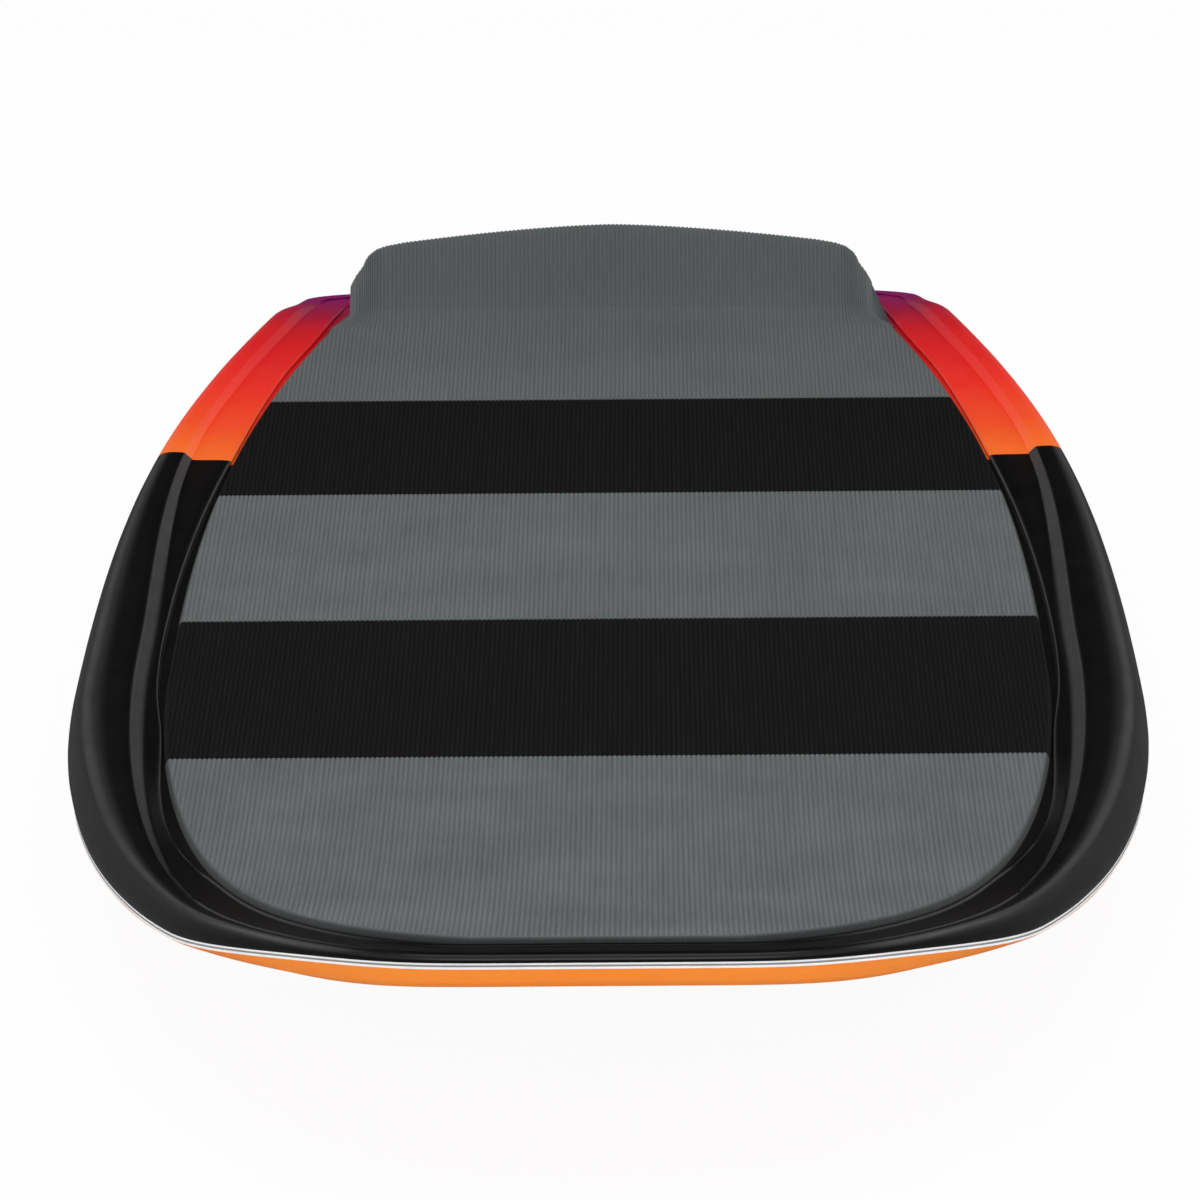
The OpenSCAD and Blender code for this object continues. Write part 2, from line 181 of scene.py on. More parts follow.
# --------------------------------------------------------------- mesh helpers
def make(name, verts_mm, quads, sharp=40, merge=True):
    """A mesh object from points in board millimetres and faces, smooth but for its hard edges."""
    v = np.asarray(verts_mm, float) / 1000
    v[:, 1] -= L / 2000
    me = bpy.data.meshes.new(name)
    me.from_pydata(v.tolist(), [], quads.tolist() if isinstance(quads, np.ndarray) else quads)
    me.update()
    if merge:
        bm = bmesh.new()
        bm.from_mesh(me)
        bmesh.ops.remove_doubles(bm, verts=bm.verts, dist=2e-6)
        bmesh.ops.dissolve_degenerate(bm, dist=1e-7, edges=bm.edges)
        bmesh.ops.recalc_face_normals(bm, faces=bm.faces)
        bm.to_mesh(me)
        bm.free()
    me.polygons.foreach_set("use_smooth", np.ones(len(me.polygons), bool))
    me.set_sharp_from_angle(angle=math.radians(sharp))
    ob = bpy.data.objects.new(name, me)
    bpy.context.scene.collection.objects.link(ob)
    return ob


def grid_faces(rows, cols, ring=False, base=0):
    """Quads of a grid of rows by columns, closed round its columns if ring is set."""
    r, c = np.meshgrid(np.arange(rows - 1), np.arange(cols if ring else cols - 1), indexing="ij")
    n = (c + 1) % cols
    return np.stack([r * cols + c, r * cols + n, (r + 1) * cols + n, (r + 1) * cols + c], -1).reshape(-1, 4) + base


def placed(ob, slot, *nodes):
    """Ties a finished piece to the board's body and hides the frame parts it stands for; slot is not used."""
    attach(ob, "board")
    if nodes:
        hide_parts(*nodes)
    return ob


# ------------------------------------------------------------------ materials
def lin(r, g, b):
    """A colour written as 0 to 255 screen values, as the linear values a shader takes."""
    c = np.array([r, g, b]) / 255
    c = np.where(c <= 0.04045, c / 12.92, ((c + 0.055) / 1.055) ** 2.4)
    return (*[float(x) for x in c], 1.0)


class Finish:
    """A small helper that strings shader nodes together on Object coordinates."""

    def __init__(self, name, rough=0.5, metallic=0.0, **sockets):
        self.m = bpy.data.materials.new(name)
        self.m.use_nodes = True
        self.t = self.m.node_tree
        self.b = self.t.nodes["Principled BSDF"]
        self.b.inputs["Roughness"].default_value = rough
        self.b.inputs["Metallic"].default_value = metallic
        for k, v in sockets.items():
            self.b.inputs[k.replace("_", " ")].default_value = v
        self.co = self.node("ShaderNodeTexCoord").outputs["Object"]

    def node(self, kind, **inputs):
        n = self.t.nodes.new(kind)
        for k, v in inputs.items():
            self.put(n.inputs[k.replace("_", " ")], v)
        return n

    def put(self, sock, v):
        if isinstance(v, bpy.types.NodeSocket):
            self.t.links.new(v, sock)
        else:
            sock.default_value = v

    def math(self, op, a, b=0.0, clamp=False):
        n = self.t.nodes.new("ShaderNodeMath")
        n.operation, n.use_clamp = op, clamp
        self.put(n.inputs[0], a)
        self.put(n.inputs[1], b)
        return n.outputs[0]

    def scaled(self, sx, sy, sz):
        n = self.node("ShaderNodeMapping", Vector=self.co)
        n.inputs["Scale"].default_value = (sx, sy, sz)
        return n.outputs[0]

    def noise(self, scale, detail=3.0, rough=0.55, at=None):
        n = self.node("ShaderNodeTexNoise", Scale=scale, Detail=detail, Roughness=rough)
        self.t.links.new(at or self.co, n.inputs["Vector"])
        return n.outputs["Fac"]

    def cells(self, scale, at=None, kind="F1"):
        n = self.node("ShaderNodeTexVoronoi", Scale=scale)
        n.feature = kind
        self.t.links.new(at or self.co, n.inputs["Vector"])
        return n.outputs["Distance"]

    def span(self, v, a, b, lo=0.0, hi=1.0):
        n = self.node("ShaderNodeMapRange", Value=v)
        for k, x in (("From Min", a), ("From Max", b), ("To Min", lo), ("To Max", hi)):
            n.inputs[k].default_value = x
        return n.outputs[0]

    def axis(self, which):
        return self.node("ShaderNodeSeparateXYZ", Vector=self.co).outputs[which]

    def ramp(self, fac, stops):
        n = self.t.nodes.new("ShaderNodeValToRGB")
        self.t.links.new(fac, n.inputs[0])
        e = n.color_ramp.elements
        while len(e) < len(stops):
            e.new(0.5)
        for s, (p, c) in zip(e, stops):
            s.position, s.color = p, c
        return n.outputs[0]

    def blend(self, fac, a, b, how="MIX"):
        n = self.t.nodes.new("ShaderNodeMix")
        n.data_type, n.blend_type = "RGBA", how
        self.put(n.inputs[0], fac)
        self.put(n.inputs[6], a)
        self.put(n.inputs[7], b)
        return n.outputs[2]

    def colour(self, c):
        self.put(self.b.inputs["Base Color"], c)
        return self

    def rough(self, fac, lo, hi):
        self.t.links.new(self.span(fac, 0.25, 0.75, lo, hi), self.b.inputs["Roughness"])
        return self

    def bumps(self, *layers):
        """Bump layers, each a height, a distance in metres and a strength, one on another."""
        normal = None
        for height, distance, strength in layers:
            n = self.node("ShaderNodeBump", Height=height, Distance=distance, Strength=strength)
            if normal:
                self.t.links.new(normal, n.inputs["Normal"])
            normal = n.outputs[0]
        self.t.links.new(normal, self.b.inputs["Normal"])
        return self


def pad_foam(name, body, dark, light, rough=0.86, spec=0.2, sheen=0.04):
    """Closed-cell pad foam: fine pores, a cloudy tone, a dusting of lighter specks, and a colour that grows darker
    towards the tail.
    """
    f = Finish(name, rough, Sheen_Weight=sheen, Sheen_Roughness=0.5, Specular_IOR_Level=spec)
    cloud = f.noise(14, 4)
    streak = f.noise(1, 3, 0.6, f.scaled(420, 9, 60))
    fine = f.noise(1900, 2)
    c = f.blend(f.span(cloud, 0.3, 0.7), dark, body)
    c = f.blend(f.span(streak, 0.35, 0.75, 0, 0.35), c, light)
    c = f.blend(f.span(fine, 0.62, 0.78, 0, 0.3), c, light)
    c = f.blend(f.span(fine, 0.4, 0.24, 0, 0.35), c, dark)
    # the colour is blended towards the dark tone from the middle of the board to the tail
    tail = f.span(f.axis("Y"), 0.1, 0.6, 0, 1)
    c = f.blend(f.math("MULTIPLY", tail, 0.65), c, dark)
    cut = f.node("ShaderNodeAttribute")
    cut.attribute_name = "cut_edge"
    c = f.blend(f.math("MULTIPLY", cut.outputs["Fac"], 0.72), c, lin(30, 31, 32))
    f.colour(c).rough(cloud, rough - 0.04, rough + 0.06)
    return f.bumps((f.cells(1500), 0.00018, 0.35), (fine, 0.0001, 0.3)).m


def sprayed(f):
    """The faint orange peel and soft sanding haze of a sprayed coat."""
    return f.bumps((f.noise(520, 2), 0.00006, 0.25), (f.noise(60, 2), 0.0002, 0.06)).m


def deck_paint():
    """Satin black that stops at a crisp line, then orange fading through red and crimson to purple at the tail."""
    f = Finish("deck_paint", 0.33, Specular_IOR_Level=0.26)
    y = f.axis("Y")
    fade = f.ramp(f.span(y, PAINT_Y, 0.705), [
        (0.00, lin(252, 112, 26)), (0.17, lin(248, 74, 24)), (0.37, lin(242, 40, 22)),
        (0.60, lin(222, 8, 22)), (0.71, lin(204, 0, 22)), (0.80, lin(174, 0, 52)),
        (0.90, lin(140, 0, 84)), (1.0, lin(104, 2, 108))])
    cloud = f.noise(26, 4)
    black = f.blend(f.span(cloud, 0.3, 0.7), lin(5, 5, 6), lin(8, 8, 9))
    tint = f.blend(f.span(cloud, 0.35, 0.65, 0, 0.03), fade, lin(255, 120, 60))
    edge = f.math("ADD", y, f.math("MULTIPLY", f.math("SUBTRACT", f.noise(160, 2), 0.5), 0.0012))
    faded = f.span(edge, PAINT_Y - 0.00015, PAINT_Y + 0.00015)
    c = f.blend(faded, black, tint)
    haze = f.span(f.noise(38, 4), 0.25, 0.75, 0.3, 0.37)
    satin = f.math("MULTIPLY", faded, 0.12)
    f.put(f.b.inputs["Roughness"], f.math("ADD", haze, satin))   # the faded coat is duller than the black
    return sprayed(f.colour(c))


def plain_paint(name, a, b, rough=0.4, scale=24):
    """One sprayed colour with a faint cloud in it."""
    f = Finish(name, rough, Specular_IOR_Level=0.22)
    f.colour(f.blend(f.span(f.noise(scale, 4), 0.3, 0.7), a, b)).rough(f.noise(38, 4), rough - 0.04, rough + 0.05)
    return sprayed(f)


def moulded(name, a, b, rough=0.5):
    """Moulded plastic: spark texture and a slightly cloudy tone."""
    f = Finish(name, rough, Specular_IOR_Level=0.45)
    c = f.blend(f.span(f.noise(90, 3), 0.3, 0.7), a, b)
    f.colour(c).rough(f.noise(200, 2), rough - 0.06, rough + 0.08)
    return f.bumps((f.cells(2600), 0.00006, 0.5)).m


def metal(name, a, b, rough, lines):
    """Machined metal: fine tool lines round or along the part, with small changes of tone."""
    f = Finish(name, rough, 1.0)
    tool = f.noise(1, 2, 0.5, f.scaled(*lines))
    c = f.blend(f.span(f.noise(70, 3), 0.3, 0.7), a, b)
    f.colour(c).rough(tool, rough - 0.08, rough + 0.1)
    return f.bumps((tool, 0.00004, 0.5)).m


def cell_foam(name, a, b, scale):
    """Expanded or dense foam seen raw: packed round cells with darker seams."""
    f = Finish(name, 0.9, Specular_IOR_Level=0.2)
    cell = f.cells(scale)
    c = f.blend(f.span(cell, 0.15, 0.7), a, b)
    f.colour(c).rough(f.noise(60, 2), 0.84, 0.95)
    return f.bumps((cell, 0.0006, 0.5)).m


M = {
    "deck_paint": deck_paint(),
    "bottom_paint": plain_paint("bottom_paint", lin(255, 148, 50), lin(254, 142, 46), 0.46),
    "white_line": plain_paint("white_line", lin(250, 250, 250), lin(240, 241, 241), 0.4, 60),
    "grey_line": plain_paint("grey_line", lin(142, 145, 146), lin(132, 135, 136), 0.42, 60),
    "pad_grey": pad_foam("pad_grey", lin(93, 97, 98), lin(82, 86, 87), lin(108, 112, 113)),
    "pad_black": pad_foam("pad_black", lin(12, 12, 13), lin(9, 9, 10), lin(24, 24, 26), 0.88, 0.1, 0.0),
    "riser_foam": pad_foam("riser_foam", lin(66, 68, 70), lin(52, 54, 56), lin(84, 86, 88)),
    "foam": cell_foam("foam", lin(226, 226, 220), lin(246, 246, 242), 320),
    "dense_foam": cell_foam("dense_foam", lin(196, 178, 136), lin(218, 204, 166), 900),
    "track_plastic": moulded("track_plastic", lin(22, 22, 24), lin(30, 30, 32), 0.48),
    "plug_plastic": moulded("plug_plastic", lin(26, 26, 28), lin(36, 36, 38), 0.42),
    "seal_rubber": moulded("seal_rubber", lin(14, 14, 14), lin(24, 24, 24), 0.7),
    "membrane": moulded("membrane", lin(232, 234, 238), lin(216, 220, 226), 0.75),
    "brass": metal("brass", lin(196, 164, 92), lin(176, 142, 76), 0.34, (900, 30, 900)),
    "steel": metal("steel", lin(196, 197, 200), lin(172, 174, 178), 0.3, (30, 900, 900)),
}


def dress(ob, key):
    """Gives an object one of the materials above and no other."""
    ob.data.materials.clear()
    ob.data.materials.append(M[key])
    return ob


# --------------------------------------------------------------------- shells
RING = rim()
# each row: shares of the lip, the crest, the slope's middle and the shelf that make up the inset, share of the
# wall from seam to crest, share of the drop from crest to deck, and how much of that drop waits along the sides
DECK_KNOTS = [
    [0.22, 0, 0, 0, 0.0, 0, 0], [0.05, 0, 0, 0, 0.2, 0, 0], [0, 0, 0, 0, 0.38, 0, 0], [0, 0.13, 0, 0, 0.7, 0, 0],
    [0, 0.42, 0, 0, 0.94, 0, 0], [0, 1, 0, 0, 1, 0, 0], [0, 0, 0.84, 0, 1, 0.04, 0], [0, 0, 0.93, 0, 1, 0.2, 0],
    [0, 0, 1.05, 0, 1, 0.5, 0], [0, 0, 1.13, 0, 1, 0.6, 0], [0, 0, 0, 0.975, 1, 0.92, 0.26], [0, 0, 0, 1, 1, 1, 0]]


def deck_rows():
    """Rows from the seam, round the raised rail and down to the recessed deck, then on to the spine."""
    m, shelf = rail_mid(RING[:, 1]), shelf_d(RING[:, 1])
    w = np.maximum(3.5, m / 2)
    out = []
    sides = ease(0.2, 0.36, RING[:, 1] / L)
    for lip, crest, mid, flat, wall, drop, late in smooth_rows(DECK_KNOTS, 5):
        q = inset(RING, np.maximum(np.minimum(w, 10) * lip + w * crest + m * mid + shelf * flat, 0))
        u = q[:, 1]
        s, c = seam_z(u) + BAND / 2, crest_z(u)
        out.append(np.c_[q, mix(s, c, min(wall, 1)) - np.clip(drop - late * sides, 0, 1) * rise(u)])
    reach = np.linalg.norm(np.c_[RING[:, 0], RING[:, 1] - np.clip(RING[:, 1], L * 0.1667, L * 0.86)], axis=1)
    for t in (0.06, 0.15, 0.3, 0.5, 0.75, 1.0):
        q = inset(RING, mix(shelf, reach, t))
        out.append(np.c_[q, deck_z(q[:, 1])])
    return out


def low_rows():
    """Rows from the seam under the rail, along the bevelled chine to the flat bottom, then on to the spine."""
    lip = np.minimum(np.maximum(3.5, rail_mid(RING[:, 1]) / 2), 10)
    out = []
    knots = [[0, 0, 0], [1, 0.4, 0], [2, 0.75, 0], [3, 1, 0], [4, 1, 0.62], [5, 1, 1]]
    reach = [0.22 * lip, 4, 8, 16, 40, CHINE]
    for k, to_edge, to_flat in smooth_rows(knots, 4):
        i = int(min(k, 4))
        q = inset(RING, mix(reach[i], reach[i + 1], k - i) * np.ones(len(RING)))
        u = q[:, 1]
        s, b = seam_z(u) - BAND / 2, bottom_z(u)
        e = b + mix(2, 30.8, ease(0, 0.12, u / L)) * (s - b) / 45
        out.append(np.c_[q, np.maximum(mix(mix(s, e, to_edge), b, to_flat), b)])
    full = np.linalg.norm(np.c_[RING[:, 0], RING[:, 1] - np.clip(RING[:, 1], L * 0.1667, L * 0.86)], axis=1)
    for t in (0.1, 0.3, 0.6, 1.0):
        q = inset(RING, mix(CHINE, full, t))
        out.append(np.c_[q, bottom_z(q[:, 1])])
    return out


def shell(name, rows, wall, up):
    """A skin of the given thickness: the rows outside, the same rows moved inwards, closed at the seam."""
    n = len(RING)
    ob = make(name, np.concatenate(rows), grid_faces(len(rows), n, ring=True))
    bm = bmesh.new()
    bm.from_mesh(ob.data)
    big = max(bm.faces, key=lambda f: f.calc_area())
    if (big.normal.z > 0) != up:
        bmesh.ops.reverse_faces(bm, faces=bm.faces)
    bm.to_mesh(ob.data)
    bm.free()
    s = ob.modifiers.new("wall", "SOLIDIFY")
    s.thickness, s.offset, s.use_even_offset = wall / 1000, -1, False
    bpy.context.view_layer.objects.active = ob
    bpy.ops.object.modifier_apply(modifier="wall")
    return ob


deck = shell("deck_shell", deck_rows(), SKIN * 0.8, True)
dress(placed(deck, "deck_paint", "deck_skin"), "deck_paint")

low = low_rows()
bottom = shell("bottom_shell", low, SKIN * 0.8, False)


def cutter(kind, lo, hi):
    """A plain box or round bar between two corners, used to open the bottom and then thrown away."""
    bm = bmesh.new()
    if kind == "box":
        bmesh.ops.create_cube(bm, size=1.0)
    else:
        bmesh.ops.create_cone(bm, segments=96, radius1=0.5, radius2=0.5, depth=1.0, cap_ends=True)
    me = bpy.data.meshes.new("cut")
    bm.to_mesh(me)
    bm.free()
    ob = bpy.data.objects.new("cut", me)
    bpy.context.scene.collection.objects.link(ob)
    c = (Vector(lo) + Vector(hi)) / 2
    d = Vector(hi) - Vector(lo)
    me.transform(Matrix.Translation(c) @ Matrix.Diagonal((d.x, d.y, d.z, 1)))
    return ob


for node, kind in (("track_left", "box"), ("track_right", "box"), ("vent_housing", "rod"), ("leash_cup", "rod")):
    lo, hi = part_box(node)
    knife = cutter(kind, (lo[0] - 5e-5, lo[1] - 5e-5, -0.01), (hi[0] + 5e-5, hi[1] + 5e-5, 0.01))
    b = bottom.modifiers.new("hole", "BOOLEAN")
    b.operation, b.solver, b.object = "DIFFERENCE", "EXACT", knife
    bpy.context.view_layer.objects.active = bottom
    bpy.ops.object.modifier_apply(modifier="hole")
    bpy.data.objects.remove(knife, do_unlink=True)
bottom.data.set_sharp_from_angle(angle=math.radians(35))
dress(placed(bottom, "bottom_paint", "bottom_skin"), "bottom_paint")


def pinline(name, a, b, slot, node):
    """One stripe round the seam: a closed loop of a gently rounded section, 1.2 mm deep."""
    top, low0 = deck_rows()[0], low[0]
    v = np.c_[-RING[:, 0], np.clip(RING[:, 1], L * 0.1667, L * 0.86) - RING[:, 1], np.zeros(len(RING))]
    v /= np.linalg.norm(v, axis=1)[:, None]
    section = ((a, SKIN), (a, 0.05), (mix(a, b, 0.12), 0), (mix(a, b, 0.5), -0.04),
               (mix(a, b, 0.88), 0), (b, 0.05), (b, SKIN))
    rows = [mix(top, low0, t) + v * d for t, d in section]
    n = len(RING)
    here, after, last = np.arange(n), (np.arange(n) + 1) % n, (len(rows) - 1) * n
    back = np.stack([last + here, last + after, after, here], -1)
    ob = make(name, np.concatenate(rows), np.concatenate([grid_faces(len(rows), n, ring=True), back]))
    return dress(placed(ob, slot, node), slot)


pinline("stripe_upper", 0.0, 0.3, "white_line", "pinline_upper")
pinline("stripe_middle", 0.3, 0.62, "grey_line", "parting_line")
pinline("stripe_lower", 0.62, 1.0, "white_line", "pinline_lower")


# ------------------------------------------------------------------- deck pad
RIB_AT = np.array([0, 0.11, 0.2, 0.34, 0.66, 0.8, 0.89])
RIB_DROP = np.array([0.6, 0.45, 0.15, 0.01, 0.01, 0.15, 0.45])


def rib_columns(w):
    """Columns across the pad, seven to a rib, from one side to the other."""
    n = int(w / RIB_PITCH) + 2
    x = ((np.arange(-n, n)[:, None] + RIB_AT) * RIB_PITCH).ravel()
    d = np.tile(RIB_DROP, 2 * n)
    keep = np.abs(x) < w - 0.02
    return np.r_[-w, x[keep], w], np.r_[0.0, d[keep], 0.0]


def pad_w(u):
    """Half width of the pad: a flattened ellipse up to its widest station, then a power curve to the tail."""
    return np.where(
        u < PAD_WIDE,
        PAD_HALF * np.clip(1 - ((PAD_WIDE - u) / (PAD_WIDE - PAD_BASE)) ** 2, 1e-6, 1) ** PAD_NOSE,
        PAD_HALF * (1 - PAD_FALL * np.clip((u - PAD_WIDE) / (L * 0.5383), 0, 2) ** PAD_TAIL))


def pad_span(x):
    """First and last station of the pad at a distance x from its centre line, from the pad_w curves turned round."""
    r = np.clip(np.abs(x) / PAD_HALF, 0, 1)
    return (PAD_WIDE - np.sqrt(1 - r ** (1 / PAD_NOSE)) * (PAD_WIDE - PAD_BASE),
            PAD_WIDE + L * 0.5383 * ((1 - r) / PAD_FALL) ** (1 / PAD_TAIL))


def edge_slope(dist):
    """Height of the cut edge at a distance in from the outline: a small upright, then a rounded bevel."""
    t = np.clip(dist / BEVEL, 0, 1)
    return UPRIGHT + (PAD_T - UPRIGHT) * (1 - (1 - t) ** 1.7)


def mark_cut(ob, share):
    """Stores how near each point is to a cut edge of the foam, 1 on it and 0 away from it."""
    at = ob.data.attributes.new("cut_edge", "FLOAT", "POINT")
    at.data.foreach_set("value", np.clip(share, 0, 1).astype(np.float32))


def points_mm(ob):
    """An object's points in board millimetres."""
    v = np.empty(len(ob.data.vertices) * 3)
    ob.data.vertices.foreach_get("co", v)
    v = v.reshape(-1, 3) * 1000
    v[:, 1] += L / 2
    return v


def pad_inset(x, u, k):
    """Distance in from the pad's outline, square to it, at x and u; the first piece also ends at its front cut."""
    slope = (pad_w(u + 0.2) - pad_w(u - 0.2)) / 0.4
    away = (pad_w(u) - np.abs(x)) / np.sqrt(1 + slope ** 2)
    return np.minimum(away, u - PAD_CUTS[0]) if k == 0 else away


def pad_piece(name, k, slot, node):
    """One piece of the grooved pad. Columns run along the board, each between the outline and the cuts, and the
    top is deck_z plus the lower of the rib's height and edge_slope of the distance to the outline."""
    a, b = PAD_CUTS[k], PAD_CUTS[k + 1]
    w = float(np.max(pad_w(np.linspace(a, b, 400))))
    x, drop = rib_columns(w)
    lo, hi = pad_span(x)
    lo, hi = np.maximum(lo, a), np.minimum(hi, b)
    mid = float(np.clip(PAD_WIDE, a, b))
    lo[[0, -1]] = hi[[0, -1]] = mid
    hi = np.maximum(hi, lo)
    size = hi - lo
    near = np.array([0, 0.35, 0.7, 1.1, 1.6, 2.2, 3.0, EDGE_ZONE])
    fit = np.minimum(1, size / 16)
    n = max(6, int((b - a) / 13))
    t = np.linspace(0, 1, n + 2)[1:-1]
    u = np.vstack([lo + near[:, None] * fit,
                   mix(lo + EDGE_ZONE * fit, hi - EDGE_ZONE * fit, t[:, None]),
                   hi - near[::-1][:, None] * fit])
    dist = np.maximum(pad_inset(x, u, k), 0)
    z = deck_z(u) + np.minimum(PAD_T - drop, edge_slope(dist))
    if k != 0:
        z -= HAIRLINE * np.clip(1 - (u - a) / 0.6, 0, 1)
    if k != 4:
        z -= HAIRLINE * np.clip(1 - (b - u) / 0.6, 0, 1)
    X = np.broadcast_to(x, u.shape)
    top = np.stack([X, u, z], -1)
    nb = max(3, int((b - a) / 26))
    ub = mix(lo, hi, np.linspace(0, 1, nb)[:, None])
    low_face = np.stack([np.broadcast_to(x, ub.shape), ub, deck_z(ub) - 0.05], -1)
    c = len(x)
    rt = u.shape[0]
    base = rt * c
    j = np.arange(c - 1)
    front = np.stack([j, base + j, base + j + 1, j + 1], -1)
    last, lastb = (rt - 1) * c, base + (nb - 1) * c
    rear = np.stack([last + j, last + j + 1, lastb + j + 1, lastb + j], -1)
    f = np.concatenate([grid_faces(rt, c), grid_faces(nb, c, base=base)[:, ::-1], front, rear])
    ob = make(name, np.concatenate([top.reshape(-1, 3), low_face.reshape(-1, 3)]), f, sharp=62)
    v = points_mm(ob)
    mark_cut(ob, 1.5 - pad_inset(v[:, 0], v[:, 1], k) / 1.6)
    dress(placed(ob, slot, node), slot)
    return ob


pad_piece("pad_nose", 0, "pad_grey", "pad_front_piece")
pad_piece("pad_cross_front", 1, "pad_black", "pad_band_front")
pad_piece("pad_middle", 2, "pad_grey", "pad_centre")
pad_piece("pad_cross_rear", 3, "pad_black", "pad_band_rear")
pad_piece("pad_tail", 4, "pad_grey", "pad_rear")

# ----------------------------------------------------------------------- kick
KICK_W = float(pad_w(np.array(KICK_FROM)))
KICK_CURVE = [[0, 0], [0.2, 0.03], [0.34, 0.1], [0.42, 0.18], [0.5, 0.3], [0.6, 0.48], [0.7, 0.67],
              [0.78, 0.82], [0.84, 0.93], [0.9, 1.0], [0.96, 0.97], [1, 0.86]]
KICK_SIDE = np.array([[0.74, 0.811], [0.8, 0.775], [0.836, 0.735], [0.863, 0.665], [0.876, 0.6], [0.882, 0.545],
                      [0.893, 0.49], [0.913, 0.40], [0.925, 0.34], [0.931, 0.29], [0.935, 0.2], [0.939, 0.08],
                      [0.943, 0.02], [1.1, 0.02]])


def kick_scale(x):
    """Share of the kick's full height at x: a shallow arch, then a shoulder with two small steps at each side."""
    t = np.abs(x) / KICK_W
    return np.where(t < 0.74, 1 - 0.296 * t ** 1.49, np.interp(t, KICK_SIDE[:, 0], KICK_SIDE[:, 1]))


def kick_in(x, run):
    """The sides of the kick draw in by 12 mm behind its foot."""
    return x - np.sign(x) * 12 * ease(0.8, 1, np.abs(x) / KICK_W) * ease(0, 0.45, run)


def kick():
    """The grooved kick: its side curve carried across the tail, scaled by the arch, with ribs square to it."""
    x, drop = rib_columns(KICK_W)
    c = smooth_rows(KICK_CURVE, 6)
    sc = kick_scale(kick_in(x, 1.0))
    run = KICK_TO - KICK_FROM
    pull = 0.13 * run * (np.abs(x) / KICK_W) ** 2
    u = KICK_FROM + np.clip(c[:, :1], 0, 1) * run - pull * c[:, 1:]
    z = DECK + PAD_T + c[:, 1:] * (KICK_H - PAD_T) * sc
    # ribs and the fold at the foot go in along the curve's own normal
    du, dz = np.gradient(u, axis=0), np.gradient(z, axis=0)
    l = np.hypot(du, dz) + 1e-9
    s = np.cumsum(l, axis=0)
    side = ease(0.4, 4.5, KICK_W - np.abs(x))
    ends = np.clip(np.minimum(1, (s[-1] - s) / 6), 0.1, 1)
    fold = 0.3 * np.exp(-((s - 27.0) / 1.1) ** 2)
    depth = drop * side * ends + fold + (1 - side) * 1.2
    depth = np.minimum(depth, PAD_T * 0.8)
    u, z = u + dz / l * depth * 0.9, z - du / l * depth
    foot = np.full((1, len(x)), KICK_FROM)
    rows_u = np.vstack([foot, u, u[-1:]])
    rows_z = np.vstack([np.full((1, len(x)), DECK - 0.05), z, np.full((1, len(x)), DECK - 0.05)])
    run_at = np.vstack([c[:1, :1], c[:, :1], c[-1:, :1]])
    g = np.stack([kick_in(x, np.clip(run_at, 0, 1)), rows_u, rows_z], -1)
    r, n = rows_u.shape
    j = np.arange(n - 1)
    f = [tuple(q) for q in np.concatenate([
        grid_faces(r, n), np.stack([(r - 1) * n + j, (r - 1) * n + j + 1, j + 1, j], -1)]).tolist()]
    f += [tuple((np.arange(r) * n).tolist()), tuple((np.arange(r)[::-1] * n + n - 1).tolist())]
    ob = make("kick_pad", g.reshape(-1, 3), f, sharp=62)
    v = points_mm(ob)
    clear = 3 * ease(KICK_FROM, KICK_FROM + 3, v[:, 1]) * (v[:, 2] > DECK + 8)
    mark_cut(ob, 1.4 - (KICK_W - np.abs(v[:, 0])) / 2.2 - clear)
    dress(placed(ob, "pad_grey", "kick_cover"), "pad_grey")
    return ob


kick()

# ------------------------------------------------------- the rest of the frame
slot_of = {s["node"]: s["material_slot"] for s in frame["record"]["subparts"]}
for name, ob in frame["nodes"].items():
    key = slot_of.get(name)
    if key in M and not ob.hide_render:
        dress(ob, key)

# --------------------------------------------------------------------- studio
def stage_plane(name, verts, mat):
    """A single face of the studio, marked as no part of the object."""
    me = bpy.data.meshes.new(name)
    me.from_pydata(verts, [], [(0, 1, 2, 3)])
    ob = bpy.data.objects.new(name, me)
    bpy.context.scene.collection.objects.link(ob)
    me.materials.append(mat)
    ob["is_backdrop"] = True
    return ob


def seen_white(tree):
    """1 for camera, glossy and transmission rays, which see white, and 0 for what lights the object."""
    lp = tree.nodes.new("ShaderNodeLightPath")
    total = lp.outputs["Is Camera Ray"]
    for ray in ("Is Glossy Ray", "Is Transmission Ray"):
        add = tree.nodes.new("ShaderNodeMath")
        add.operation, add.use_clamp = "ADD", True
        tree.links.new(total, add.inputs[0])
        tree.links.new(lp.outputs[ray], add.inputs[1])
        total = add.outputs[0]
    return total


floor_m = bpy.data.materials.new("studio_floor")
floor_m.use_nodes = True
t = floor_m.node_tree
t.nodes.clear()
out = t.nodes.new("ShaderNodeOutputMaterial")
dif = t.nodes.new("ShaderNodeBsdfDiffuse")
dif.inputs["Color"].default_value = (0.86, 0.86, 0.86, 1)
em = t.nodes.new("ShaderNodeEmission")
em.inputs["Color"].default_value = (1, 1, 1, 1)
mx = t.nodes.new("ShaderNodeMixShader")
seen = seen_white(t)
part = t.nodes.new("ShaderNodeMath")
part.operation = "MULTIPLY"
part.inputs[1].default_value = 0.95
t.links.new(seen, part.inputs[0])
t.links.new(part.outputs[0], mx.inputs[0])
t.links.new(dif.outputs[0], mx.inputs[1])
t.links.new(em.outputs[0], mx.inputs[2])
t.links.new(mx.outputs[0], out.inputs[0])
stage_plane("floor", [(-30, -30, -0.0005), (30, -30, -0.0005), (30, 30, -0.0005), (-30, 30, -0.0005)], floor_m)

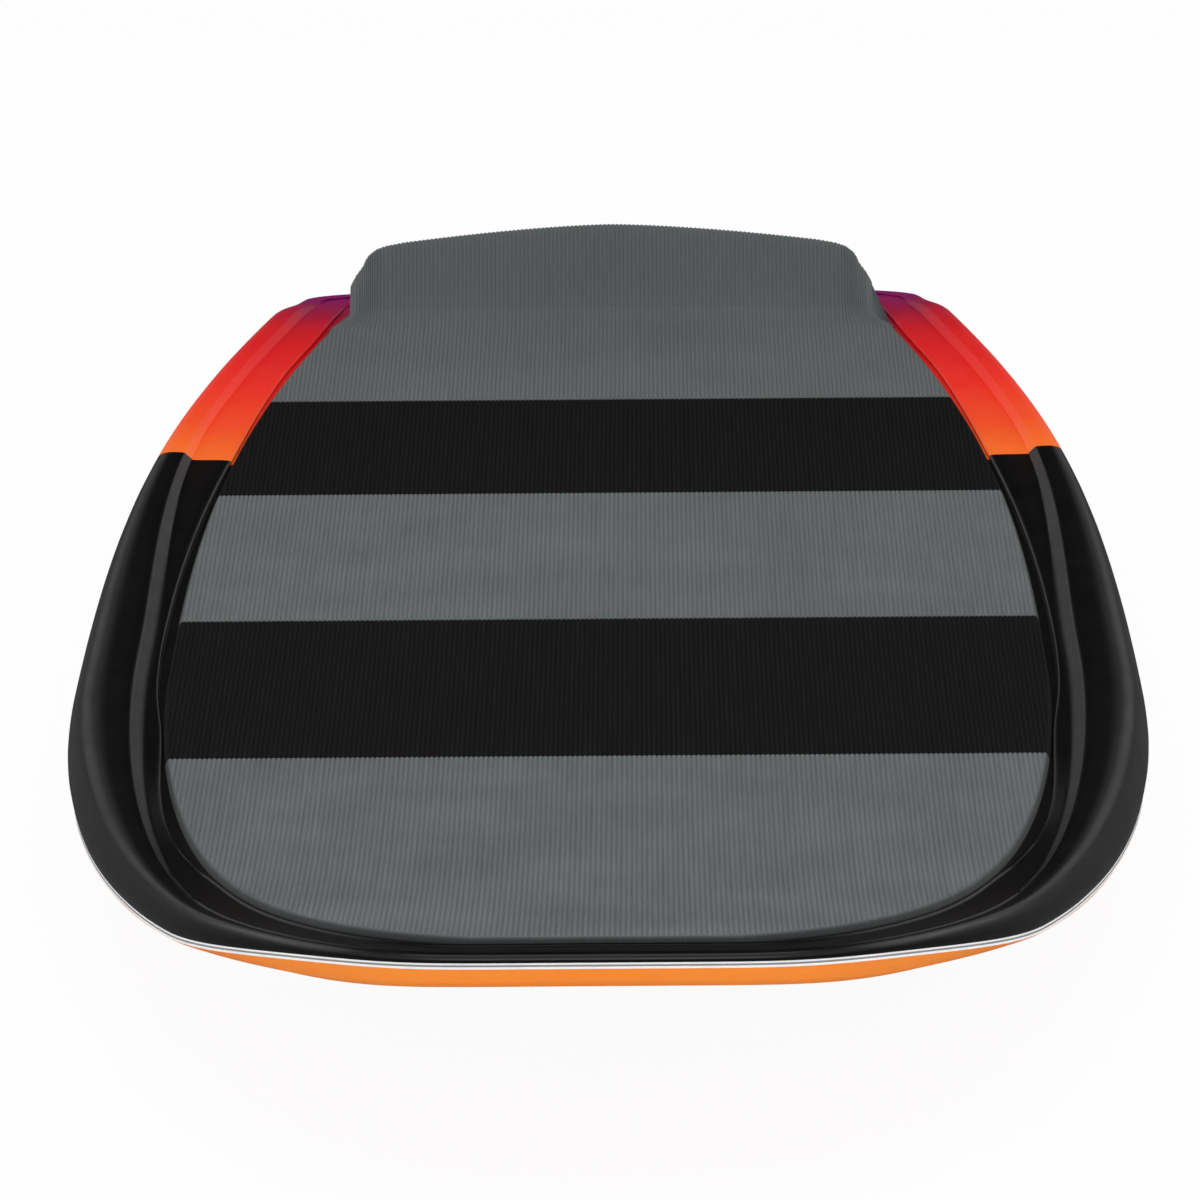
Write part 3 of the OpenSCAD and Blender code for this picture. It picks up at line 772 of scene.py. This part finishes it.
def card(name, verts, level, fade=None):
    """A card beyond the set that only reflections meet, at one level, or brightening sideways between fade's ends."""
    m = bpy.data.materials.new(name)
    m.use_nodes = True
    b = m.node_tree.nodes["Principled BSDF"]
    b.inputs["Base Color"].default_value = (0.004, 0.004, 0.004, 1)
    b.inputs["Roughness"].default_value = 1.0
    b.inputs["Specular IOR Level"].default_value = 0.0
    b.inputs["Emission Color"].default_value = (1, 1, 1, 1)
    b.inputs["Emission Strength"].default_value = level
    if fade:
        n = m.node_tree.nodes
        co, xyz = n.new("ShaderNodeTexCoord"), n.new("ShaderNodeSeparateXYZ")
        far, ramp = n.new("ShaderNodeMath"), n.new("ShaderNodeMapRange")
        far.operation, ramp.interpolation_type = "ABSOLUTE", "SMOOTHSTEP"
        for k, v in (("From Min", fade[0]), ("From Max", fade[1]), ("To Min", 0.0), ("To Max", level)):
            ramp.inputs[k].default_value = v
        m.node_tree.links.new(co.outputs["Object"], xyz.inputs[0])
        m.node_tree.links.new(xyz.outputs[0], far.inputs[0])
        m.node_tree.links.new(far.outputs[0], ramp.inputs["Value"])
        m.node_tree.links.new(ramp.outputs[0], b.inputs["Emission Strength"])
    ob = stage_plane(name, verts, m)
    ob.visible_camera = ob.visible_diffuse = ob.visible_shadow = ob.visible_transmission = False
    return ob


# far off behind the board: black straight back, brighter to each side, and a dark floor
for side, level in ((-1, 0.5), (1, 0.54)):
    card("card_back", [(0, 20, 2.4), (side * 30, 20, 2.4), (side * 30, 20, 12), (0, 20, 12)], level, (2.2, 4.8))
    card("card_wing", [(side * 30, -6, 0.0), (side * 30, 20, 0.0), (side * 30, 20, 12), (side * 30, -6, 12)], 0.2)
card("card_floor", [(-40, -1.2, 0.0004), (40, -1.2, 0.0004), (40, 22, 0.0004), (-40, 22, 0.0004)], 0.13)
card("card_low", [(-30, 20.5, 0.0), (30, 20.5, 0.0), (30, 20.5, 2.5), (-30, 20.5, 2.5)], 0.0)
card("card_top", [(-30, -6, 12), (30, -6, 12), (30, 21, 12), (-30, 21, 12)], 0.0)

world = bpy.data.worlds.new("studio")
bpy.context.scene.world = world
world.use_nodes = True
t = world.node_tree
bg = t.nodes["Background"]
bg.inputs["Color"].default_value = (1, 1, 1, 1)
seen = seen_white(t)
mr = t.nodes.new("ShaderNodeMapRange")
mr.inputs["To Min"].default_value = 0.45
mr.inputs["To Max"].default_value = 1.0
t.links.new(seen, mr.inputs["Value"])
t.links.new(mr.outputs[0], bg.inputs["Strength"])


def lamp(name, at, look, size, power):
    """A rectangular soft box that faces a point."""
    d = bpy.data.lights.new(name, "AREA")
    d.shape, d.size, d.size_y, d.energy = "RECTANGLE", size[0], size[1], power
    ob = bpy.data.objects.new(name, d)
    bpy.context.scene.collection.objects.link(ob)
    ob.location = at
    ob.rotation_mode = "QUATERNION"
    ob.rotation_quaternion = (Vector(look) - Vector(at)).to_track_quat("-Z", "Y")
    return ob


lamp("top_box", (0, -0.9, 3.2), (0, 0, 0), (3.0, 2.6), 54)
lamp("left_box", (-2.8, 0.5, 1.1), (0, 0.1, 0.05), (2.4, 2.6), 34)
lamp("right_box", (2.8, 0.5, 1.1), (0, 0.1, 0.05), (2.4, 2.6), 34)
lamp("front_box", (0, -3.6, 0.5), (0, -0.6, 0.08), (2.0, 0.7), 21)

# --------------------------------------------------------------------- camera
TURN, PITCH, ROLL, OFFSET = -0.0051, math.radians(16.3), 0.00875, 8.63 / 8625
cam_d = bpy.data.cameras.new("camera")
cam_d.lens, cam_d.sensor_width = 258.75, 36
cam_d.clip_start, cam_d.clip_end = 0.1, 100
cam = bpy.data.objects.new("camera", cam_d)
bpy.context.scene.collection.objects.link(cam)
spin = Matrix.Rotation(-TURN, 3, "Z")
fwd = spin @ Vector((0, math.cos(PITCH), -math.sin(PITCH)))
right = spin @ Vector((1, 0, 0))
up = spin @ Vector((0, math.sin(PITCH), math.cos(PITCH)))
right, up = right * math.cos(ROLL) - up * math.sin(ROLL), right * math.sin(ROLL) + up * math.cos(ROLL)
fwd, right = fwd * math.cos(OFFSET) - right * math.sin(OFFSET), right * math.cos(OFFSET) + fwd * math.sin(OFFSET)
at = spin @ Vector((0, -4.4401, 1.3839)) + Vector((0, -0.00054, 0))
rot = Matrix((right, up, -fwd)).transposed()
cam.matrix_world = Matrix.Translation(at) @ rot.to_4x4()
bpy.context.scene.camera = cam
bpy.context.scene.view_settings.view_transform = "Standard"

lo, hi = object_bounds()
